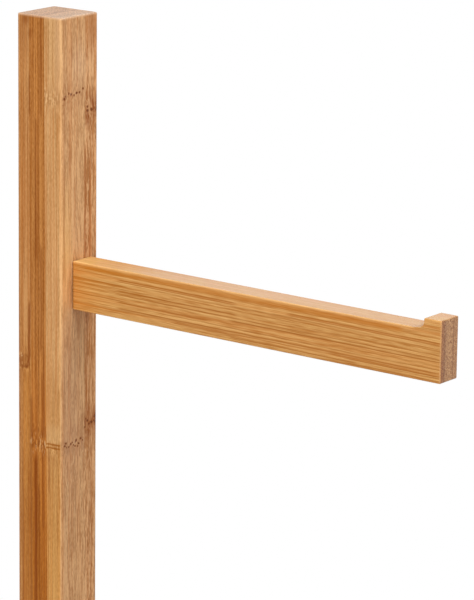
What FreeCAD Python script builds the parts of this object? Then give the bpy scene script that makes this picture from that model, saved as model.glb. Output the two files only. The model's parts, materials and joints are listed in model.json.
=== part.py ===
"""Free-standing toilet paper stand of laminated bamboo.

A square post stands near one edge of a square base plate and carries one flat arm. The arm is
notched along its top, so that its end stands up as a lip and keeps the roll on. The arm is held by
a countersunk screw from the back of the post and a dowel below it. The post is held by a bolt from
under the base plate, which turns into a threaded sleeve in the foot of the post, and two dowels
stop the post turning. Four pads under the base plate carry the stand.

Lengths are millimetres. +X runs along the arm, +Z is up, and the origin is on the floor under the
middle of the base plate.
"""

import FreeCAD
import Part
import Sketcher
import math
import os

TOLERANCE = 0.01
SHARP_ANGLE = math.radians(10)

# Numbers by which a sketch knows its origin and the points of a line or circle
ORIGIN_POINT = (-1, 1)
START_POINT = 1
END_POINT = 2
CENTRE_POINT = 3

# Driving dimensions: name in the sheet, value, what it measures
DIMENSIONS = [
    ("stand_height", 650, "floor to the top of the post"),
    ("post_width", 20, "side of the square post"),
    ("post_edge_round", 1.2, "rounding of the post's long edges"),
    ("post_top_round", 0.4, "rounding of the edges of the post's top"),
    ("post_inset", 12.5, "edge of the base plate to the back of the post"),
    ("arm_length", 155, "post to the tip of the arm"),
    ("arm_thickness", 10, "thickness of the board that the arm is cut from"),
    ("bar_height", 17.4, "height of the arm under its notch"),
    ("arm_drop", 86, "top of the post down to the floor of the notch"),
    ("arm_set_back", 1.2, "middle of the post to the middle of the arm, across the arm"),
    ("arm_edge_round", 0.5, "rounding of all the arm's edges"),
    ("lip_length", 7, "length of the lip along the arm"),
    ("lip_rise", 3.7, "floor of the notch to the top of the lip"),
    ("ramp_length", 4, "ramp that lifts the floor of the notch in front of the lip"),
    ("ramp_rise", 0.6, "height of that ramp at the lip"),
    ("ramp_round", 8, "hollow rounding at the start of that ramp"),
    ("lip_root_round", 2.2, "hollow rounding where the ramp meets the lip"),
    ("base_width", 200, "base plate along the arm"),
    ("base_depth", 200, "base plate across the arm"),
    ("base_thickness", 15, "thickness of the base plate"),
    ("base_corner_round", 12, "rounding of the base plate's corners in plan"),
    ("base_top_round", 2.5, "rounding of the base plate's upper edges"),
    ("base_bottom_bevel", 1, "bevel of the base plate's lower edges"),
    ("pad_diameter", 18, "foot pad"),
    ("pad_thickness", 2, "foot pad"),
    ("pad_inset", 20, "edge of the base plate to the middle of a foot pad"),
    ("screw_diameter", 4, "arm screw"),
    ("screw_head", 8, "head of the arm screw"),
    ("screw_length", 45, "arm screw, head included"),
    ("screw_tip", 4, "length of the arm screw's point"),
    ("screw_sink", 0.3, "back of the post to the head of the arm screw"),
    ("screw_drop", 5.6, "floor of the notch down to the arm screw"),
    ("screw_clearance", 0.2, "gap round the arm screw inside the post"),
    ("cross_width", 1.1, "width of each slot of the cross in the screw's head"),
    ("cross_span", 4.6, "span of the cross in the screw's head"),
    ("cross_depth", 1.8, "depth of the cross in the screw's head"),
    ("arm_dowel_diameter", 5, "dowel between the post and the arm"),
    ("arm_dowel_length", 24, "dowel between the post and the arm"),
    ("arm_dowel_drop", 12, "floor of the notch down to that dowel"),
    ("base_dowel_diameter", 4, "dowels between the base plate and the post"),
    ("base_dowel_length", 20, "dowels between the base plate and the post"),
    ("base_dowel_offset", 6.3, "middle of the post to those dowels, along and across the arm"),
    ("dowel_chamfer", 0.6, "bevel at the ends of a dowel"),
    ("dowel_spare", 0.5, "empty depth past each end of a dowel"),
    ("flute_width", 0.6, "grooves along a dowel that let the glue out"),
    ("flute_depth", 0.3, "depth of those grooves"),
    ("insert_diameter", 9, "threaded sleeve in the foot of the post"),
    ("insert_length", 20, "threaded sleeve"),
    ("insert_lead", 1, "bevel at the sleeve's inner end"),
    ("bolt_diameter", 6, "base bolt"),
    ("bolt_length", 25, "base bolt under its head"),
    ("bolt_head", 10.5, "head of the base bolt"),
    ("bolt_head_height", 3.3, "head of the base bolt"),
    ("bolt_head_bevel", 1.4, "bevel of the bolt's head"),
    ("bolt_chamfer", 0.8, "bevel at the end of the base bolt"),
    ("bolt_clearance", 0.25, "gap round the base bolt inside the base plate"),
    ("bolt_fit", 0.05, "gap between the base bolt and the sleeve"),
    ("hex_key", 4, "width across the flats of the socket in the bolt's head"),
    ("hex_depth", 2.2, "depth of that socket"),
    ("washer_diameter", 13, "washer under the bolt's head"),
    ("washer_thickness", 1.2, "washer under the bolt's head"),
    ("counterbore_diameter", 14, "recess under the base plate for the bolt's head"),
    ("counterbore_depth", 6, "recess under the base plate for the bolt's head"),
]
FLUTE_COUNT = 8
CROSS_SLOTS = 4
HEX_SIDES = 6
FULL_TURN = 360

# Places worked out from the driving dimensions, as formulas
BASE_TOP = "(dim.pad_thickness + dim.base_thickness)"
POST_X = "(-dim.base_width / 2 + dim.post_inset + dim.post_width / 2)"
POST_LENGTH = "(dim.stand_height - dim.pad_thickness - dim.base_thickness)"
ARM_X = f"({POST_X} + dim.post_width / 2)"
ARM_TOP = "(dim.stand_height - dim.arm_drop)"
BOLT_SHOULDER = "(dim.pad_thickness + dim.counterbore_depth)"


def make_sheet(doc):
    """Spreadsheet with one named cell for each driving dimension."""
    sheet = doc.addObject("Spreadsheet::Sheet", "dim")
    for row, (name, value, meaning) in enumerate(DIMENSIONS, start=1):
        sheet.set(f"A{row}", name)
        sheet.set(f"B{row}", str(value))
        sheet.set(f"C{row}", meaning)
        sheet.setAlias(f"B{row}", name)
    doc.recompute()


def new_body(doc, label, x="0", y="0", z="0"):
    """Empty body whose origin stands at the given formulas."""
    body = doc.addObject("PartDesign::Body", label)
    body.Label = label
    for axis, formula in zip("xyz", (x, y, z)):
        body.setExpression(f"Placement.Base.{axis}", formula)
    return body


def origin_feature(body, role):
    """One of the body's own origin planes or axes, such as XY_Plane or X_Axis."""
    return next(feature for feature in body.Origin.OriginFeatures if feature.Role == role)


def new_sketch(body, name, plane, x="0", y="0", z="0"):
    """Sketch on an origin plane, shifted in the sketch's own axes by the given formulas."""
    sketch = body.newObject("Sketcher::SketchObject", name)
    sketch.AttachmentSupport = [(origin_feature(body, plane), "")]
    sketch.MapMode = "FlatFace"
    for axis, formula in zip("xyz", (x, y, z)):
        sketch.setExpression(f"AttachmentOffset.Base.{axis}", formula)
    return sketch


def pin_point(sketch, geometry, point, x, y):
    """Holds a point of a sketch at two formulas, measured from the sketch's origin."""
    for kind, formula in (("DistanceX", x), ("DistanceY", y)):
        index = sketch.addConstraint(Sketcher.Constraint(kind, *ORIGIN_POINT, geometry, point, 1.0))
        name = f"{kind}_{geometry}"
        sketch.renameConstraint(index, name)
        sketch.setExpression(f"Constraints.{name}", formula)


def draw_outline(sketch, corners):
    """Closed outline of straight lines through corners, each a pair of formulas.

    The corners start spread round a circle, and their constraints take them to their places.
    """
    count = len(corners)
    turns = [2 * math.pi * index / count for index in range(count)]
    starts = [FreeCAD.Vector(math.cos(turn), math.sin(turn), 0) for turn in turns]
    for index in range(count):
        sketch.addGeometry(Part.LineSegment(starts[index], starts[(index + 1) % count]))
    for index in range(count):
        after = (index + 1) % count
        sketch.addConstraint(Sketcher.Constraint("Coincident", index, END_POINT, after, START_POINT))
    for index, (x, y) in enumerate(corners):
        pin_point(sketch, index, START_POINT, x, y)


def draw_rectangle(sketch, width, height):
    """Rectangle about the sketch's origin."""
    signs = [(-1, -1), (1, -1), (1, 1), (-1, 1)]
    draw_outline(sketch, [(f"{across} * {width} / 2", f"{up} * {height} / 2") for across, up in signs])


def draw_circle(sketch, diameter, x="0", y="0"):
    """Circle of a given diameter about a point."""
    upright = FreeCAD.Vector(0, 0, 1)
    index = sketch.addGeometry(Part.Circle(FreeCAD.Vector(0, 0, 0), upright, 1.0))
    pin_point(sketch, index, CENTRE_POINT, x, y)
    size = sketch.addConstraint(Sketcher.Constraint("Diameter", index, 2.0))
    sketch.renameConstraint(size, f"Diameter_{index}")
    sketch.setExpression(f"Constraints.Diameter_{index}", diameter)


def pad(body, name, sketch, length, midplane=False):
    """Solid of a sketch carried along its normal, or half of it each way."""
    feature = body.newObject("PartDesign::Pad", name)
    feature.Profile = sketch
    feature.Midplane = midplane
    feature.setExpression("Length", length)
    body.Document.recompute()


def revolve(body, name, sketch, axis):
    """Solid of a half outline turned about the sketch's H_Axis or V_Axis."""
    feature = body.newObject("PartDesign::Revolution", name)
    feature.Profile = sketch
    feature.ReferenceAxis = (sketch, [axis])
    body.Document.recompute()


def check_cut(body, name, volume_before):
    """Stops the build if a cut took nothing away."""
    if body.Shape.Volume > volume_before - TOLERANCE:
        raise RuntimeError(f"{body.Label}: {name} cut nothing")


def pocket(body, name, sketch, depth, reverse=False, midplane=False):
    """Hole of a sketch's outline, cut against its normal, along it in reverse, or half each way."""
    volume_before = body.Shape.Volume
    feature = body.newObject("PartDesign::Pocket", name)
    feature.Profile = sketch
    feature.Reversed = reverse
    feature.Midplane = midplane
    feature.setExpression("Length", depth)
    body.Document.recompute()
    check_cut(body, name, volume_before)
    return feature


def groove(body, name, sketch, axis):
    """Round hole of a half outline turned about the sketch's H_Axis or V_Axis."""
    volume_before = body.Shape.Volume
    feature = body.newObject("PartDesign::Groove", name)
    feature.Profile = sketch
    feature.ReferenceAxis = (sketch, [axis])
    body.Document.recompute()
    check_cut(body, name, volume_before)


def dress_edges(body, kind, name, prop, size, wanted):
    """Fillet or chamfer of the edges that the test wanted(edge, shape) picks."""
    base = body.Tip
    shape = base.Shape
    names = [f"Edge{number}" for number, edge in enumerate(shape.Edges, start=1) if wanted(edge, shape)]
    feature = body.newObject(kind, name)
    feature.Base = (base, names)
    feature.setExpression(prop, size)
    body.Document.recompute()


def fillet(body, name, radius, wanted):
    dress_edges(body, "PartDesign::Fillet", name, "Radius", radius, wanted)


def chamfer(body, name, size, wanted):
    dress_edges(body, "PartDesign::Chamfer", name, "Size", size, wanted)


def is_upright(edge, shape):
    return edge.BoundBox.ZLength > shape.BoundBox.ZLength - TOLERANCE


def is_on_top(edge, shape):
    return edge.BoundBox.ZMin > shape.BoundBox.ZMax - TOLERANCE


def is_on_bottom(edge, shape):
    return edge.BoundBox.ZMax < shape.BoundBox.ZMin + TOLERANCE


def is_lip_root(edge, shape):
    """Edge across the arm where the ramp meets the lip, between the notch's floor and the lip's top."""
    height = edge.CenterOfMass.z
    is_between = TOLERANCE < height < shape.BoundBox.ZMax - TOLERANCE
    return is_between and edge.BoundBox.YLength > TOLERANCE


def is_ramp_start(edge, shape):
    """Edge across the arm at the height of the notch's floor, away from the post."""
    middle = edge.CenterOfMass
    return abs(middle.z) < TOLERANCE and middle.x > TOLERANCE and edge.BoundBox.YLength > TOLERANCE


def is_sharp(edge, shape):
    """Edge where two faces meet at an angle, not where they run smoothly into each other."""
    middle = edge.valueAt((edge.FirstParameter + edge.LastParameter) / 2)
    normals = []
    for face in shape.ancestorsOfType(edge, Part.Face):
        normals.append(face.normalAt(*face.Surface.parameter(middle)))
    return len(normals) == 2 and normals[0].getAngle(normals[1]) > SHARP_ANGLE


def base_dowel_places():
    """Formulas for the two dowels of the base joint, on a diagonal through the post's middle."""
    return [(f"{side} * dim.base_dowel_offset", f"{side} * dim.base_dowel_offset") for side in (-1, 1)]


def make_post(doc):
    """Square post with eased edges, bored for the arm at its upper end and for the base at its foot."""
    body = new_body(doc, "post", x=POST_X, z=BASE_TOP)
    section = new_sketch(body, "post_section", "XY_Plane")
    draw_rectangle(section, "dim.post_width", "dim.post_width")
    pad(body, "post_shaft", section, POST_LENGTH)
    fillet(body, "post_long_edges", "dim.post_edge_round", is_upright)
    fillet(body, "post_top_edges", "dim.post_top_round", is_on_top)

    # Countersunk hole for the arm screw, right through from the back
    half = "dim.post_width / 2"
    hole = "(dim.screw_diameter / 2 + dim.screw_clearance)"
    mouth = "(dim.screw_head / 2 + dim.screw_clearance + dim.screw_sink)"
    screw_hole = new_sketch(
        body,
        "screw_hole_outline",
        "XZ_Plane",
        y=f"{ARM_TOP} - {BASE_TOP} - dim.screw_drop",
        z="-dim.arm_set_back",
    )
    draw_outline(
        screw_hole,
        [
            (f"-{half}", "0"),
            (half, "0"),
            (half, hole),
            (f"-{half} + {mouth} - {hole}", hole),
            (f"-{half}", mouth),
        ],
    )
    groove(body, "screw_hole", screw_hole, "H_Axis")

    dowel_hole = new_sketch(body, "arm_dowel_hole_outline", "YZ_Plane", z=half)
    draw_circle(
        dowel_hole,
        "dim.arm_dowel_diameter",
        x="dim.arm_set_back",
        y=f"{ARM_TOP} - {BASE_TOP} - dim.arm_dowel_drop",
    )
    pocket(body, "arm_dowel_hole", dowel_hole, "dim.arm_dowel_length / 2 + dim.dowel_spare")

    insert_hole = new_sketch(body, "insert_hole_outline", "XY_Plane")
    draw_circle(insert_hole, "dim.insert_diameter")
    pocket(body, "insert_hole", insert_hole, "dim.insert_length", reverse=True)

    base_dowel_holes = new_sketch(body, "base_dowel_holes_outline", "XY_Plane")
    for x, y in base_dowel_places():
        draw_circle(base_dowel_holes, "dim.base_dowel_diameter", x, y)
    depth = "dim.base_dowel_length / 2 + dim.dowel_spare"
    pocket(body, "base_dowel_holes", base_dowel_holes, depth, reverse=True)


def make_arm(doc):
    """Flat arm, notched on top from the post to the lip, which its floor sweeps up to, all edges eased."""
    body = new_body(doc, "arm", x=ARM_X, y="dim.arm_set_back", z=ARM_TOP)
    side = new_sketch(body, "arm_side", "XZ_Plane")
    lip_start = "dim.arm_length - dim.lip_length"
    draw_outline(
        side,
        [
            ("0", "-dim.bar_height"),
            ("dim.arm_length", "-dim.bar_height"),
            ("dim.arm_length", "dim.lip_rise"),
            (lip_start, "dim.lip_rise"),
            (lip_start, "dim.ramp_rise"),
            (f"{lip_start} - dim.ramp_length", "0"),
            ("0", "0"),
        ],
    )
    pad(body, "arm_blank", side, "dim.arm_thickness", midplane=True)
    fillet(body, "lip_root", "dim.lip_root_round", is_lip_root)
    fillet(body, "ramp_start", "dim.ramp_round", is_ramp_start)
    fillet(body, "arm_edges", "dim.arm_edge_round", is_sharp)

    screw_hole = new_sketch(body, "arm_screw_hole_outline", "YZ_Plane")
    draw_circle(screw_hole, "dim.screw_diameter", y="-dim.screw_drop")
    reach = "dim.screw_length + dim.screw_sink - dim.post_width"
    pocket(body, "arm_screw_hole", screw_hole, reach, reverse=True)

    dowel_hole = new_sketch(body, "arm_end_dowel_hole_outline", "YZ_Plane")
    draw_circle(dowel_hole, "dim.arm_dowel_diameter", y="-dim.arm_dowel_drop")
    depth = "dim.arm_dowel_length / 2 + dim.dowel_spare"
    pocket(body, "arm_end_dowel_hole", dowel_hole, depth, reverse=True)


def make_base_plate(doc):
    """Square board with rounded corners and edges, recessed below for the bolt's head."""
    body = new_body(doc, "base_plate", z="dim.pad_thickness")
    outline = new_sketch(body, "base_outline", "XY_Plane")
    draw_rectangle(outline, "dim.base_width", "dim.base_depth")
    pad(body, "base_board", outline, "dim.base_thickness")
    fillet(body, "base_corners", "dim.base_corner_round", is_upright)
    fillet(body, "base_top_edges", "dim.base_top_round", is_on_top)
    chamfer(body, "base_bottom_edges", "dim.base_bottom_bevel", is_on_bottom)

    recess = "dim.counterbore_diameter / 2"
    hole = "(dim.bolt_diameter / 2 + dim.bolt_clearance)"
    bolt_hole = new_sketch(body, "bolt_hole_outline", "XZ_Plane", x=POST_X)
    draw_outline(
        bolt_hole,
        [
            ("0", "0"),
            (recess, "0"),
            (recess, "dim.counterbore_depth"),
            (hole, "dim.counterbore_depth"),
            (hole, "dim.base_thickness"),
            ("0", "dim.base_thickness"),
        ],
    )
    groove(body, "bolt_hole", bolt_hole, "V_Axis")

    dowel_holes = new_sketch(body, "plate_dowel_holes_outline", "XY_Plane", x=POST_X, z="dim.base_thickness")
    for x, y in base_dowel_places():
        draw_circle(dowel_holes, "dim.base_dowel_diameter", x, y)
    pocket(body, "plate_dowel_holes", dowel_holes, "dim.base_dowel_length / 2 + dim.dowel_spare")


def make_arm_screw(doc):
    """Countersunk wood screw with a crossed slot, its thread left plain at the outer diameter."""
    back = f"{POST_X} - dim.post_width / 2 + dim.screw_sink"
    body = new_body(doc, "arm_screw", x=back, y="dim.arm_set_back", z=f"{ARM_TOP} - dim.screw_drop")
    shank = "dim.screw_diameter / 2"
    head = "dim.screw_head / 2"
    outline = new_sketch(body, "screw_outline", "XZ_Plane")
    draw_outline(
        outline,
        [
            ("0", "0"),
            ("dim.screw_length", "0"),
            ("dim.screw_length - dim.screw_tip", shank),
            (f"{head} - {shank}", shank),
            ("0", head),
        ],
    )
    revolve(body, "screw_shank", outline, "H_Axis")

    cross = new_sketch(body, "cross_outline", "YZ_Plane")
    wide = "dim.cross_span / 2"
    narrow = "dim.cross_width / 2"
    quarter = [(wide, narrow), (narrow, narrow), (narrow, wide)]
    corners = []
    for _ in range(CROSS_SLOTS):
        corners += quarter
        quarter = [(f"-({y})", x) for x, y in quarter]
    draw_outline(cross, corners)
    pocket(body, "cross_slot", cross, "dim.cross_depth", reverse=True)


def make_dowel(doc, label, plane, length, diameter, x, y, z):
    """Dowel along the normal of an origin plane, bevelled at both ends and fluted all round."""
    body = new_body(doc, label, x, y, z)
    section = new_sketch(body, f"{label}_section", plane)
    draw_circle(section, diameter)
    pad(body, f"{label}_rod", section, length, midplane=True)
    chamfer(body, f"{label}_ends", "dim.dowel_chamfer", is_sharp)

    flute = new_sketch(body, f"{label}_flute_section", plane)
    rim = f"{diameter} / 2"
    half = "dim.flute_width / 2"
    draw_outline(flute, [(f"{rim} - dim.flute_depth", "0"), (rim, f"-{half}"), (rim, half)])
    cut = pocket(body, f"{label}_flute", flute, length, midplane=True)
    ring = body.newObject("PartDesign::PolarPattern", f"{label}_flutes")
    ring.Originals = [cut]
    ring.Axis = (flute, ["N_Axis"])
    ring.Angle = FULL_TURN
    ring.Occurrences = FLUTE_COUNT
    body.Tip = ring
    body.Document.recompute()


def make_dowels(doc):
    """One dowel across the arm joint and two up through the base joint."""
    make_dowel(
        doc,
        "arm_dowel",
        "YZ_Plane",
        "dim.arm_dowel_length",
        "dim.arm_dowel_diameter",
        ARM_X,
        "dim.arm_set_back",
        f"{ARM_TOP} - dim.arm_dowel_drop",
    )
    for label, (x, y) in zip(("base_dowel_front", "base_dowel_rear"), base_dowel_places()):
        make_dowel(
            doc,
            label,
            "XY_Plane",
            "dim.base_dowel_length",
            "dim.base_dowel_diameter",
            f"{POST_X} + {x}",
            y,
            BASE_TOP,
        )


def make_post_insert(doc):
    """Sleeve screwed into the post's foot, bevelled where it goes in, its threads left plain."""
    body = new_body(doc, "post_insert", x=POST_X, z=BASE_TOP)
    bore = "dim.bolt_diameter / 2 + dim.bolt_fit"
    outside = "dim.insert_diameter / 2"
    outline = new_sketch(body, "insert_outline", "XZ_Plane")
    draw_outline(
        outline,
        [
            (bore, "0"),
            (outside, "0"),
            (outside, "dim.insert_length - dim.insert_lead"),
            (f"{outside} - dim.insert_lead", "dim.insert_length"),
            (bore, "dim.insert_length"),
        ],
    )
    revolve(body, "insert_sleeve", outline, "V_Axis")


def make_base_bolt(doc):
    """Bolt with a low round head and a six-sided socket, its thread left plain."""
    body = new_body(doc, "base_bolt", x=POST_X, z=f"{BOLT_SHOULDER} - dim.washer_thickness")
    shank = "dim.bolt_diameter / 2"
    head = "dim.bolt_head / 2"
    outline = new_sketch(body, "bolt_outline", "XZ_Plane")
    draw_outline(
        outline,
        [
            ("0", "-dim.bolt_head_height"),
            (head, "-dim.bolt_head_height"),
            (head, "0"),
            (shank, "0"),
            (shank, "dim.bolt_length"),
            ("0", "dim.bolt_length"),
        ],
    )
    revolve(body, "bolt_shank", outline, "V_Axis")
    chamfer(body, "bolt_head_edge", "dim.bolt_head_bevel", is_on_bottom)
    chamfer(body, "bolt_end", "dim.bolt_chamfer", is_on_top)

    socket = new_sketch(body, "socket_outline", "XY_Plane", z="-dim.bolt_head_height")
    radius = f"dim.hex_key / (2 * cos({FULL_TURN / HEX_SIDES / 2} deg))"
    turns = [FULL_TURN / HEX_SIDES * corner for corner in range(HEX_SIDES)]
    draw_outline(socket, [(f"{radius} * cos({turn} deg)", f"{radius} * sin({turn} deg)") for turn in turns])
    pocket(body, "socket", socket, "dim.hex_depth", reverse=True)


def make_base_washer(doc):
    """Flat ring between the bolt's head and the base plate."""
    body = new_body(doc, "base_washer", x=POST_X, z=f"{BOLT_SHOULDER} - dim.washer_thickness")
    ring = new_sketch(body, "washer_section", "XY_Plane")
    draw_circle(ring, "dim.washer_diameter")
    draw_circle(ring, "dim.bolt_diameter + 2 * dim.bolt_clearance")
    pad(body, "washer_ring", ring, "dim.washer_thickness")


def make_foot_pads(doc):
    """Four round pads cut from sheet, one near each corner of the base plate."""
    for depth_name, depth_side in (("front", -1), ("rear", 1)):
        for width_name, width_side in (("left", -1), ("right", 1)):
            label = f"foot_pad_{depth_name}_{width_name}"
            x = f"{width_side} * (dim.base_width / 2 - dim.pad_inset)"
            y = f"{depth_side} * (dim.base_depth / 2 - dim.pad_inset)"
            body = new_body(doc, label, x, y)
            section = new_sketch(body, f"{label}_section", "XY_Plane")
            draw_circle(section, "dim.pad_diameter")
            pad(body, f"{label}_disc", section, "dim.pad_thickness")


def check_document(doc, bodies):
    """Stops the build if any object failed or a piece is not one sound solid."""
    for thing in doc.Objects:
        if {"Invalid", "Error"} & set(thing.State):
            raise RuntimeError(f"{thing.Label} failed: {thing.State}")
    for body in bodies:
        shape = body.Shape
        if shape.isNull() or not shape.isValid() or len(shape.Solids) != 1:
            raise RuntimeError(f"{body.Label} is not one sound solid")


def main():
    doc = FreeCAD.newDocument("toilet_paper_stand")
    make_sheet(doc)
    make_post(doc)
    make_arm(doc)
    make_base_plate(doc)
    make_arm_screw(doc)
    make_dowels(doc)
    make_post_insert(doc)
    make_base_bolt(doc)
    make_base_washer(doc)
    make_foot_pads(doc)
    doc.recompute()
    bodies = [thing for thing in doc.Objects if thing.TypeId == "PartDesign::Body"]
    check_document(doc, bodies)
    os.makedirs("parts", exist_ok=True)
    for body in bodies:
        body.Shape.exportStep(f"parts/{body.Label}.step")
        print(f"{body.Label}: {body.Shape.Volume:.1f} mm3")


main()
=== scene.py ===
"""Toilet paper stand of laminated bamboo: its finishes, threaded fasteners, floor, light and camera."""

from functools import reduce
import json
import math

import bpy
import numpy as np
from mathutils import Matrix, Vector


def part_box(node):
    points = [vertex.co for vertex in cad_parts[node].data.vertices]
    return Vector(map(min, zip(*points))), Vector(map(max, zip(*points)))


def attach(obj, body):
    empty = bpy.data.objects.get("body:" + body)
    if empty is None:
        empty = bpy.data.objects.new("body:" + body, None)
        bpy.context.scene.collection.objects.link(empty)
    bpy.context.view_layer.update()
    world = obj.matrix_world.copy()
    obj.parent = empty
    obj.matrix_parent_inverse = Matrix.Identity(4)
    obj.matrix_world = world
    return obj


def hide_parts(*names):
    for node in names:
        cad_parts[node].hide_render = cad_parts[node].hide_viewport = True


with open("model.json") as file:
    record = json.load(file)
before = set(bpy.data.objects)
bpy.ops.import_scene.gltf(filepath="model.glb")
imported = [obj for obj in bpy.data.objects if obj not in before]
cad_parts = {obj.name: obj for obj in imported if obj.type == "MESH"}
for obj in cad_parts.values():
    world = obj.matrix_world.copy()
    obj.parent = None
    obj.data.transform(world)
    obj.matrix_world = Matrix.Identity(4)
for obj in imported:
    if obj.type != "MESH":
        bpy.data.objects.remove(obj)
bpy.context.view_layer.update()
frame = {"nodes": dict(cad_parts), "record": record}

# Sizes in the materials and of the fasteners are in millimetres, and those of the scene in metres.
MM = 0.001


def corners(node):
    """Lowest and highest corner of a node, in millimetres."""
    low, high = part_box(node)
    return np.array(low) / MM, np.array(high) / MM


POST_LOW, POST_HIGH = corners("post")
ARM_LOW, ARM_HIGH = corners("arm")
BASE_LOW, BASE_HIGH = corners("base_plate")
POST_AXIS_X = (POST_LOW[0] + POST_HIGH[0]) / 2
POST_HALF = (POST_HIGH[0] - POST_LOW[0]) / 2
LIP_RISE = 3.7
NOTCH_HEIGHT = ARM_HIGH[2] - LIP_RISE


def tone(red, green, blue):
    """A colour written as it shows on a screen, 0 to 255, turned into the shader's linear values."""
    shown = np.array([red, green, blue]) / 255
    linear = np.where(shown <= 0.04045, shown / 12.92, ((shown + 0.055) / 1.055) ** 2.4)
    return (*linear.tolist(), 1.0)


class Wire:
    """An output of a material's nodes. Arithmetic on it adds Math nodes."""

    def __init__(self, tree, socket=None):
        self.tree = tree
        self.socket = socket

    def node(self, kind, settings, inputs, output=0):
        """Add a node: first its settings, then the values or links of its inputs. Give back one output."""
        made = self.tree.nodes.new("ShaderNode" + kind)
        for name, value in settings.items():
            setattr(made, name, value)
        for key, value in inputs.items():
            if isinstance(value, Wire):
                self.tree.links.new(value.socket, made.inputs[key])
            else:
                made.inputs[key].default_value = value
        return Wire(self.tree, made.outputs[output]) if made.outputs else None

    def math(self, operation, *others):
        """Add a Math node whose first input is this one."""
        return self.node("Math", {"operation": operation}, dict(enumerate((self, *others))))

    def __add__(self, other):
        return self.math("ADD", other)

    __radd__ = __add__

    def __sub__(self, other):
        return self.math("SUBTRACT", other)

    def __rsub__(self, other):
        return self.math("MULTIPLY_ADD", -1.0, other)

    def __mul__(self, other):
        return self.math("MULTIPLY", other)

    __rmul__ = __mul__

    def __truediv__(self, other):
        return self.math("DIVIDE", other)

    def __neg__(self):
        return self * -1.0

    def __gt__(self, other):
        return self.math("GREATER_THAN", other)

    def __lt__(self, other):
        return self.math("LESS_THAN", other)

    def __abs__(self):
        return self.math("ABSOLUTE")

    def floor(self):
        return self.math("FLOOR")

    def wrap(self, half):
        """The same number brought between -half and half by whole steps."""
        return self.math("WRAP", half, -half)

    def least(self, other):
        return self.math("MINIMUM", other)

    def most(self, other):
        return self.math("MAXIMUM", other)

    def smooth(self, low, high):
        """0 at low and 1 at high, with a soft start and end; low may be the larger one."""
        settings = {"interpolation_type": "SMOOTHSTEP"}
        return self.node("MapRange", settings, {"Value": self, "From Min": low, "From Max": high})

    def hump(self, middle, half_width):
        """1 at the middle, falling softly to 0 at half_width on either side."""
        return abs(self - middle).smooth(half_width, 0.0)


def lookup(number, colours):
    """The colour with that number, counted from 0."""
    count = len(colours)
    found = number.node("ValToRGB", {}, {"Fac": (number + 0.5) / count})
    ramp = found.socket.node.color_ramp
    ramp.interpolation = "CONSTANT"
    while len(ramp.elements) < count:
        ramp.elements.new(1.0)
    for index, colour in enumerate(colours):
        ramp.elements[index].position = index / count
        ramp.elements[index].color = colour
    return found


def parts(triple):
    """The three numbers that a vector or colour holds."""
    first = triple.node("SeparateXYZ", {}, {0: triple})
    return [Wire(first.tree, socket) for socket in first.socket.node.outputs]


def blend(share, first, second):
    """The first colour where share is 0, the second where it is 1."""
    # Inputs 6 and 7 and output 2 are the colours of a Mix node.
    settings = {"data_type": "RGBA", "clamp_factor": True}
    return share.node("Mix", settings, {0: share, 6: first, 7: second}, 2)


def tinted(colour, share, red, green, blue):
    """The colour, with its red, green and blue scaled by these factors where share is 1."""
    scaled = colour.node("VectorMath", {"operation": "MULTIPLY"}, {0: colour, 1: (red, green, blue)})
    return blend(share, colour, scaled)


def vector(x, y, z):
    return x.node("CombineXYZ", {}, {0: x, 1: y, 2: z})


def length(place):
    return place.node("VectorMath", {"operation": "LENGTH"}, {0: place}, "Value")


# A seed moves a pattern by this many steps along each axis.
SEED_STEPS = (3.7, 5.3, 7.9)


def spread(place, sizes, seed):
    """The place measured in steps of these sizes, moved by an amount that depends on the seed."""
    scale = [1 / size for size in sizes]
    shift = [seed * step for step in SEED_STEPS]
    return place.node("VectorMath", {"operation": "MULTIPLY_ADD"}, {0: place, 1: scale, 2: shift})


def noise(place, sizes, seed, detail=1.0):
    """Soft random pattern around 0, whose spots have these sizes along the place's axes."""
    moved = spread(place, sizes, seed)
    return place.node("TexNoise", {}, {"Vector": moved, "Scale": 1.0, "Detail": detail}) - 0.5


def cells(place, sizes, seed):
    """Distance from the middle of the nearest of many cells of these sizes."""
    return place.node("TexVoronoi", {}, {"Vector": spread(place, sizes, seed), "Scale": 1.0})


def chance(number):
    """A fixed random number from 0 to 1 for each whole number."""
    return number.node("TexWhiteNoise", {"noise_dimensions": "1D"}, {"W": number})


def highest(wires):
    """The highest of several numbers."""
    return reduce(Wire.most, wires)


def clear_nodes(owner):
    """Empty a material's or a world's nodes, and give a start for new ones."""
    owner.use_nodes = True
    owner.node_tree.nodes.clear()
    return Wire(owner.node_tree)


def new_material(name):
    """An empty material with the coordinates of its object, in millimetres, and its normal."""
    material = bpy.data.materials.new(name)
    start = clear_nodes(material)
    metres = start.node("TexCoord", {}, {}, "Object")
    place = metres.node("VectorMath", {"operation": "SCALE"}, {0: metres, "Scale": 1 / MM})
    normal = start.node("NewGeometry", {}, {}, "Normal")
    return material, place, normal


def dress(material, colour, roughness, height, relief, **others):
    """Close a material: colour, roughness and bump vary, and the others are mostly plain values."""
    bump = colour.node("Bump", {}, {"Height": height, "Strength": 1.0, "Distance": relief * MM})
    inputs = {"Base Color": colour, "Roughness": roughness, "Normal": bump}
    inputs.update({name.replace("_", " "): value for name, value in others.items()})
    surface = colour.node("BsdfPrincipled", {}, inputs)
    surface.node("OutputMaterial", {}, {"Surface": surface})
    return material


def edge_distance(first, second, third):
    """Distance to the nearest edge of a box: the middle one of those to its three pairs of faces."""
    return first.least(second).most(first.most(second).least(third))


# Length over which a line along the grain fades at its ends.
LINE_FADE = 4.0


def stroke(across, along, middle, half_width, start, stop, strength):
    """The strength on a line from start to stop along the grain, falling softly to 0 all round it."""
    ends = along.smooth(start - LINE_FADE, start) * along.smooth(stop + LINE_FADE, stop)
    return strength * across.hump(middle, half_width) * ends


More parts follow.
